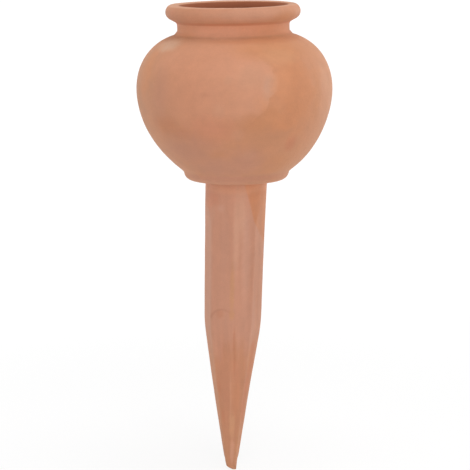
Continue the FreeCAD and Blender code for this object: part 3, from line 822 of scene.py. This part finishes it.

# %% [markdown]
# The neck was wiped with a wet sponge, which took its bloom off and left it lighter and cleaner,
# and it is painted lighter still, which lifts the shade that the rim casts on it. The creases
# under the rim and where the foot meets the spike get painted shade, darker bands where shade
# falls. The top of the rim is paler than its underside, and its lip is palest, a painted
# highlight along its crest. Each of these goes by the height on the chart. Stains then add a thin
# line of painted shade in the crease at the foot of the neck, make the rim's face paler and its
# two ends orange and brown, as where it was held.

# %% The wiped neck, the rim, and painted shade in the creases
# Painted shade: the darker colour laid in the creases where shade falls.
CREASE_SHADE = tone(195, 118, 81)


def band(label, low_edge, high_edge, soft):
    """1 between two heights on the chart, and 0 a little above and below them."""
    return clay.times(label,
                      clay.fade(label, height, low_edge - soft, low_edge),
                      clay.fade(label, height, high_edge + soft, high_edge))


# Partly the neck's own cleaner clay, partly painted light: its lighter colour lifts the shade under
# the rim.
clay.lay("wiped neck", tone(222, 158, 123), band("neck", 93.5, 99.8, 1.4))
clay.lay("pale rim", tone(205, 143, 112), clay.fade("rim", height, 100.5, 103.5), 0.6)
# A painted highlight: the crest of the lip is laid in a pale colour where it catches the light.
clay.lay("painted highlight on the lip", tone(230, 180, 152), clay.fade("lip", height, 109.8, 110.7), 0.6)
# Painted shade: a thin, darker orange brown line in the crease where the neck meets the shoulder.
stain("painted shade in the neck crease", tone(200, 129, 88), [(28, 90.2, 46, 1.5)], 0.5, soft=0.7, frayed=0.2)
stain("orange sides of the neck", ORANGE, [(54, 96.5, 24, 6), (-57, 96, 14, 5)], 0.4, soft=0.8)
stain("pink middle of the neck", tone(224, 166, 136), [(-18, 95.5, 28, 3.5)], 0.5, soft=0.7)
# Painted shade: darker bands in the crease under the rim and where the foot meets the spike.
clay.lay("painted shade under the rim", CREASE_SHADE, band("crease", 99.9, 100.7, 0.9), 0.6)
clay.lay("painted shade in the crease of the foot", CREASE_SHADE, band("crease", -3.3, -2.5, 0.7), 0.4)
stain("pale face of the rim", tone(216, 166, 140), [(22, 107, 44, 3.4)], 0.4, soft=0.7)
stain("orange end of the rim", tone(199, 133, 91), [(52, 103.5, 15, 4)], 0.7, soft=0.7)
stain("brown end of the rim", tone(189, 129, 97), [(-55, 102.5, 12, 3)], 0.4, soft=0.7)

# %% [markdown]
# The spike has its own look: a pink bloom down to the shoulder of the taper, which ends in long
# upright streaks, and orange where a thumb held it.

# %% Bloom and a thumb mark on the spike
bloom_end = clay.maths("ragged end", "MULTIPLY_ADD", strokes, 46.0, height)
bloom_stays = clay.fade("ends at the taper", bloom_end, -93.0, -72.0)
spike_bloom = clay.times("bloom on the spike", on_spike, bloom_stays)
clay.lay("spike bloom", tone(205, 151, 126), spike_bloom, 0.85)

thumb_side = clay.maths("side slants", "MULTIPLY_ADD", height, 0.95, around)
thumb_end = clay.maths("end slants", "MULTIPLY_ADD", around, 0.34, height)
thumbed = clay.times("held by the thumb", on_spike,
                     clay.fade("right of its side", thumb_side, 12.5, 16.5),
                     clay.fade("above its end", thumb_end, -14.5, -11.5),
                     clay.fade("not round the back", around, 125.0, 105.0))
clay.lay("orange thumb mark", tone(206, 140, 100), thumbed, 0.85)
print(f"spike: {len(clay.tree.nodes)} nodes so far")

# %% [markdown]
# The shank of the spike is painted lighter under its collar, where the foot's shadow falls, and it
# is warm where it was handled. It is streaked with light and mauve along its flats; one light
# streak is a painted highlight on the ridge between two flats, and its right side gets painted
# shade. The stains that reach up to the foot are kept off it.

# %% Stains on the shank of the spike
# Painted light: a paler ring under the collar lifts the shadow that the foot casts on the spike.
stain("painted light under the collar of the spike", tone(228, 171, 136), [(0, -4, 70, 3), (100, -4, 70, 3),
      (-140, -4, 70, 3)], 0.45, soft=0.6, within=on_spike)
stain("warm spike corner", tone(204, 136, 106), [(-57, -11, 22, 6)], 0.5, within=on_spike)
stain("warm spike edges", tone(197, 136, 106), [(61, -80, 5, 12), (-31, -84.5, 8, 2.5)], 0.5)
stain("light side streak", tone(214, 166, 143), [(24, -48, 9, 30)], 0.45, soft=0.7, within=on_spike)
# Painted shade down the right side of the spike, which darkens the pale edge that the lamp behind it
# gives.
stain("painted shade on the right of the spike", tone(182, 127, 100), [(60, -78, 24, 64), (60, -135, 22, 36)],
      0.55, soft=0.6, within=on_spike)
# A painted highlight: a pale streak along the ridge between two flats of the shank.
stain("painted highlight on a ridge of the shank", tone(219, 174, 147), [(2.5, -31, 6, 24), (12, -20, 8, 14)], 0.4, soft=0.7,
      within=on_spike)
stain("mauve spike streaks", tone(201, 149, 125), [(35, -92, 22, 16), (-17, -95, 4, 9),
      (-35, -108, 4, 9), (-51, -55, 4, 26), (-22, -40, 9, 20)], 0.5)
stain("pale blotches", tone(213, 166, 144), [(-29, -16.5, 7, 2.4), (22, -32, 5, 6)], 0.3, soft=0.7)
stain("ochre spike streak", tone(207, 153, 115), [(-4.3, -69, 4.5, 15), (-4.5, -84, 5, 3.6)], 0.7)

# %% [markdown]
# The taper was pared last and has no bloom. Its clay is bare brown, olive and ochre, with rust
# on its right edge. A dark line of painted shade stands for a groove, and a light line of painted
# highlight runs on the ridge between two flats down to the pale end.

# %% Stains on the taper
stain("brown middle of the taper", tone(202, 141, 112), [(10, -124, 11, 8), (-24, -126, 20, 26)],
      0.5, soft=0.6)
stain("olive taper", tone(204, 141, 106), [(14, -141, 11, 15)], 0.5)
stain("rust on the taper", tone(193, 124, 91), [(58, -112, 12, 8), (61, -122, 13, 9),
      (57, -134, 13, 9), (52, -147, 12, 9)], 0.7)
stain("faint rust on its left", RUST, [(-46, -132.5, 6, 4), (-39, -153, 6, 5)], 0.25, soft=0.7)
stain("ochre edge of the taper", tone(197, 137, 98), [(51, -116, 5, 7)], 0.6)
# Painted shade: a dark brown line stands in for the shade of a groove down the taper.
stain("painted shade of a groove", tone(195, 127, 93), [(1.4, -102, 2.6, 8), (3.8, -116, 2.6, 10)], 0.45,
      frayed=0.3)
# A painted highlight along the ridge between two flats of the taper.
stain("painted highlight on the ridge of the taper", tone(210, 158, 128), [(-6.6, -132, 2.6, 8), (-6.3, -142, 2.8, 7),
      (-7.6, -150.5, 3.2, 3.6)], 0.38, soft=0.7, frayed=0.3)
stain("light end of the taper", tone(212, 160, 123), [(0, -159, 14, 8)], 0.6)
stain("mauve tip", tone(216, 163, 135), [(4, -177, 16, 8)], 0.6)
stain("brown tip edges", tone(203, 148, 113), [(-38, -178, 14, 10), (38, -172, 12, 10),
      (0, -189, 70, 2.6)], 0.5)

# %% [markdown]
# A small arch on the spike is the mark of a fingernail or of a tool's corner. It is a thin ring
# of an oval with its lower half left off, and it fades to the right. It is a little darker than
# the clay, and pressed in with bump.

# %% The arch that a tool left
from_oval = clay.maths("from the oval", "SUBTRACT", oval_reach("arch", -25, -88, 26, 6.6), 1.0)
off_line = clay.maths("off the line", "ABSOLUTE", from_oval)
arch_line = clay.times("arch line",
                       clay.fade("thin line", off_line, 0.18, 0.02),
                       clay.fade("upper half", height, -89.0, -86.0),
                       clay.fade("fades to the right", around, 20.0, -45.0))
clay.lay("arch mark", tone(173, 116, 90), arch_line, 0.26)
pressed_in = clay.times("pressed in", arch_line, -1.0)
print(f"with the arch: {len(clay.tree.nodes)} nodes so far")

# %% [markdown]
# The inside never got the bloom, so its clay is a deeper red brown, and it is painted darker still
# as painted shade, since little light reaches into the jar. This starts just below the lip. Which
# points are inside is plain from the mesh: their normals look towards the axis, or they are on
# the floor of the jar and look up. That is kept as an attribute of the clay, and the material
# reads it.

# %% The deep colour and painted shade of the inside
LIP_DEPTH = 0.5
LIP_FADE = 0.5
FLOOR_TOP = 14.0
FACES_UP = 0.3
FACES_IN_START = 0.043
FACES_IN_END = 0.329


def ramp(value, start, end):
    """0 before the start, 1 after the end, and a straight line in between."""
    return min(1.0, max(0.0, (value - start) / (end - start)))


mesh = clay_body.data
lip_height = max(point.co.z for point in mesh.vertices) / MM
inside = mesh.attributes.new("inside", "FLOAT", "POINT")
for point in mesh.vertices:
    place = point.co / MM
    place.x -= min(place.z, 0) * LEAN_SLOPE
    away = Vector((place.x, place.y, 0)).normalized().dot(point.normal)
    on_floor = 0 < place.z < FLOOR_TOP and point.normal.z > FACES_UP
    towards_axis = ramp(-away, FACES_IN_START, FACES_IN_END)
    below_lip = ramp(lip_height - place.z, LIP_DEPTH, LIP_DEPTH + LIP_FADE)
    inside.data[point.index].value = 1.0 if on_floor else towards_axis * below_lip
print(f"inside: {sum(value.value > 0.5 for value in inside.data)} points")

is_inside = clay.node("ShaderNodeAttribute", "inside", attribute_name="inside")
# Partly the clay's own deeper colour, partly painted shade: little light reaches into the jar.
inside_clay_and_shade = clay.blend("deep clay and painted shade", tone(154, 87, 56), tone(168, 98, 66), clouds)
clay.lay("inside", inside_clay_and_shade, is_inside.outputs["Fac"])

# %% [markdown]
# Last comes the grain: mottling, knife strokes, throwing rings and fine sand make the colour a
# little lighter or darker. The shade starts below 1, as each noise adds half its contrast on
# average. The same noises drive the roughness and the bump, so that what is seen and what is
# felt agree. Sheen gives the dusty brightness that fired clay has at its edges.

# %% Grain, roughness and bump
sand = clay.noise("fine sand", spot, 0.55, detail=2.0)
pits = clay.noise("pits", spot, 1.6, detail=2.0)
rings_on_jar = clay.times("rings on the jar", rings, on_jar)
strokes_on_spike = clay.times("strokes on the spike", strokes, on_spike)

shade = 0.84
for label, source, contrast in (("mottling", mottle, 0.16), ("sand", sand, 0.16),
                                ("rings", rings_on_jar, 0.04), ("strokes", strokes_on_spike, 0.14)):
    shade = clay.maths(label, "MULTIPLY_ADD", source, contrast, shade)
grained = clay.node("ShaderNodeVectorMath", "lighter and darker", clay.colour, operation="SCALE")
clay.feed(grained.inputs["Scale"], shade)

shader = clay.shader
clay.feed(shader.inputs["Base Color"], grained.outputs["Vector"])
matt = clay.maths("matt", "MULTIPLY_ADD", mottle, 0.2, 0.74)
clay.feed(shader.inputs["Roughness"], matt)
shader.inputs["Diffuse Roughness"].default_value = 0.6
shader.inputs["Specular IOR Level"].default_value = 0.3
shader.inputs["Sheen Weight"].default_value = 0.12
shader.inputs["Sheen Roughness"].default_value = 0.45
shader.inputs["Sheen Tint"].default_value = tone(255, 226, 205)

layers = (("sand", sand, 0.05), ("pits", pits, 0.08), ("mottling", mottle, 0.25),
          ("rings", rings_on_jar, 0.08), ("strokes", strokes_on_spike, 0.14),
          ("arch", pressed_in, 0.2))
relief = None
for label, source, rise in layers:
    bump = clay.node("ShaderNodeBump", label)
    bump.inputs["Distance"].default_value = rise * MM
    clay.feed(bump.inputs["Height"], source)
    if relief is not None:
        clay.feed(bump.inputs["Normal"], relief)
    relief = bump.outputs["Normal"]
clay.feed(shader.inputs["Normal"], relief)
print(f"relief: {len(layers)} layers")

# %% [markdown]
# The clay rides on the only body of the object and stands in for the plain CAD node, which is
# then hidden. It gets the terracotta finish.

# %% Put the finish on the clay
clay_body.data.materials.clear()
clay_body.data.materials.append(clay.material)
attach(clay_body, "root")
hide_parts(CAD_NODE)
print(f"terracotta: {len(clay.tree.nodes)} nodes")

# %% [markdown]
# The photograph has a plain white ground. A white floor alone would turn grey away from the lamps,
# so the camera sees most of it as light of its own: strength 1 is white. Near the tip of the spike
# a fifth of the floor is still lit paper, and that fifth keeps the soft shadow. The glow is a
# little above 1, so that the mix is white too where no shadow falls. All other rays meet plain
# paper, so the glow lights nothing.

# %% The floor
FLOOR_SIZE = 30
SHADOW_SHARE = 0.2
SHADOW_NEAR = 0.25
SHADOW_FAR = 0.9
GLOW = 1.06

tip_height = min(point.co.z for point in clay_body.data.vertices)
bpy.ops.object.select_all(action="DESELECT")
bpy.ops.mesh.primitive_plane_add(size=FLOOR_SIZE, location=(0, 0, tip_height))
floor = bpy.context.active_object
floor.name = "floor"
ground = Finish("floor", (0.9, 0.9, 0.9, 1))
ground.feed(ground.shader.inputs["Base Color"], ground.colour)
ground.shader.inputs["Roughness"].default_value = 1.0
ground.shader.inputs["Specular IOR Level"].default_value = 0.0
glow = ground.node("ShaderNodeEmission", "white to the camera", (1, 1, 1, 1), GLOW).outputs[0]
floor_spot = ground.node("ShaderNodeTexCoord", "place on the floor").outputs["Object"]
distance = ground.node("ShaderNodeVectorMath", "metres from the spike", floor_spot,
                       operation="LENGTH").outputs["Value"]
near_spike = ground.fade("near the spike", distance, SHADOW_FAR, SHADOW_NEAR)
paper_share = ground.times("lit paper", near_spike, SHADOW_SHARE)
glow_share = ground.maths("the rest glows", "SUBTRACT", 1.0, paper_share)
to_camera = ground.node("ShaderNodeLightPath", "who looks").outputs["Is Camera Ray"]
glow_share = ground.times("only for the camera", glow_share, to_camera)
surface = ground.node("ShaderNodeMixShader", "paper and glow", glow_share,
                      ground.shader.outputs["BSDF"], glow).outputs["Shader"]
ground.feed(ground.tree.nodes["Material Output"].inputs["Surface"], surface)
floor.data.materials.append(ground.material)
print(f"floor at {tip_height / MM:.1f} mm, the height of the tip")

# %% [markdown]
# The light is a plain studio: a room at a low level, which looks white to the camera only, and
# large soft lamps. One stands high in front, and a low one beside the camera brightens what faces
# down: the underside of the rim and the foot. One hangs over the jar, a little to the right, and
# lights its shoulder. Two stand behind it on either side, so low that they don't shine into the
# mouth, and they give the clay its pale edges. Each lamp is written as the share of full white
# that it alone gives a card that faces it from the middle of the stage.

# %% The light
ROOM_LIGHT = 0.31

studio = bpy.data.worlds.new("studio")
studio.use_nodes = True
room = studio.node_tree
background = room.nodes["Background"]
background.inputs["Color"].default_value = (1, 1, 1, 1)
who_looks = room.nodes.new("ShaderNodeLightPath")
white_to_camera = room.nodes.new("ShaderNodeMapRange")
white_to_camera.inputs["To Min"].default_value = ROOM_LIGHT
room.links.new(who_looks.outputs["Is Camera Ray"], white_to_camera.inputs["Value"])
room.links.new(white_to_camera.outputs["Result"], background.inputs["Strength"])
bpy.context.scene.world = studio


def softbox(name, place, width, height, share):
    """A large soft lamp that faces the jar; its share is how bright it alone makes a white card."""
    bpy.ops.object.light_add(type="AREA", location=place)
    lamp = bpy.context.active_object
    lamp.name = name
    lamp.data.shape = "RECTANGLE"
    lamp.data.size = width
    lamp.data.size_y = height
    lamp.data.energy = share * math.pi ** 2 * Vector(place).length_squared
    lamp.rotation_euler = (-Vector(place)).to_track_quat("-Z", "Y").to_euler()
    print(f"{name}: {lamp.data.energy:.0f} watts")


softbox("front_softbox", (0.25, -1.9, 1.1), 1.2, 1.0, 0.21)
softbox("low_front_softbox", (0.1, -2.1, 0.1), 1.6, 0.5, 0.2)
softbox("top_softbox", (0.2, -0.2, 1.5), 1.0, 1.0, 0.46)
softbox("left_back_softbox", (-1.2, 0.9, -0.03), 0.8, 0.3, 0.38)
softbox("right_back_softbox", (1.2, 0.9, -0.03), 0.8, 0.3, 0.5)

# %% [markdown]
# The camera stands a metre and a half away with a long lens, as in a product photograph. It looks
# down by nine degrees, which opens the mouth to a narrow crescent. The photograph was taken a
# degree off level, and so this camera is rolled too. The Standard view transform leaves colours
# as they are written.

# %% The camera
PICTURE_SIDE = 470
FOCAL_PIXELS = 2381.12
DISTANCE = 1.5
CAMERA_HEIGHT = 0.20067
LOOKS_DOWN = 8.97
LOOKS_LEFT = 0.0515
ROLL = -1.06

camera_data = bpy.data.cameras.new("camera")
camera = bpy.data.objects.new("camera", camera_data)
bpy.context.scene.collection.objects.link(camera)
camera_data.sensor_width = 36
camera_data.lens = FOCAL_PIXELS / PICTURE_SIDE * camera_data.sensor_width
camera.matrix_world = (Matrix.Translation((0, -DISTANCE, CAMERA_HEIGHT))
                       @ Matrix.Rotation(math.radians(LOOKS_LEFT), 4, "Z")
                       @ Matrix.Rotation(math.radians(90 - LOOKS_DOWN), 4, "X")
                       @ Matrix.Rotation(math.radians(ROLL), 4, "Z"))
bpy.context.scene.camera = camera
bpy.context.scene.view_settings.view_transform = "Standard"
print(f"lens {camera_data.lens:.0f} mm, looking down {LOOKS_DOWN} degrees")
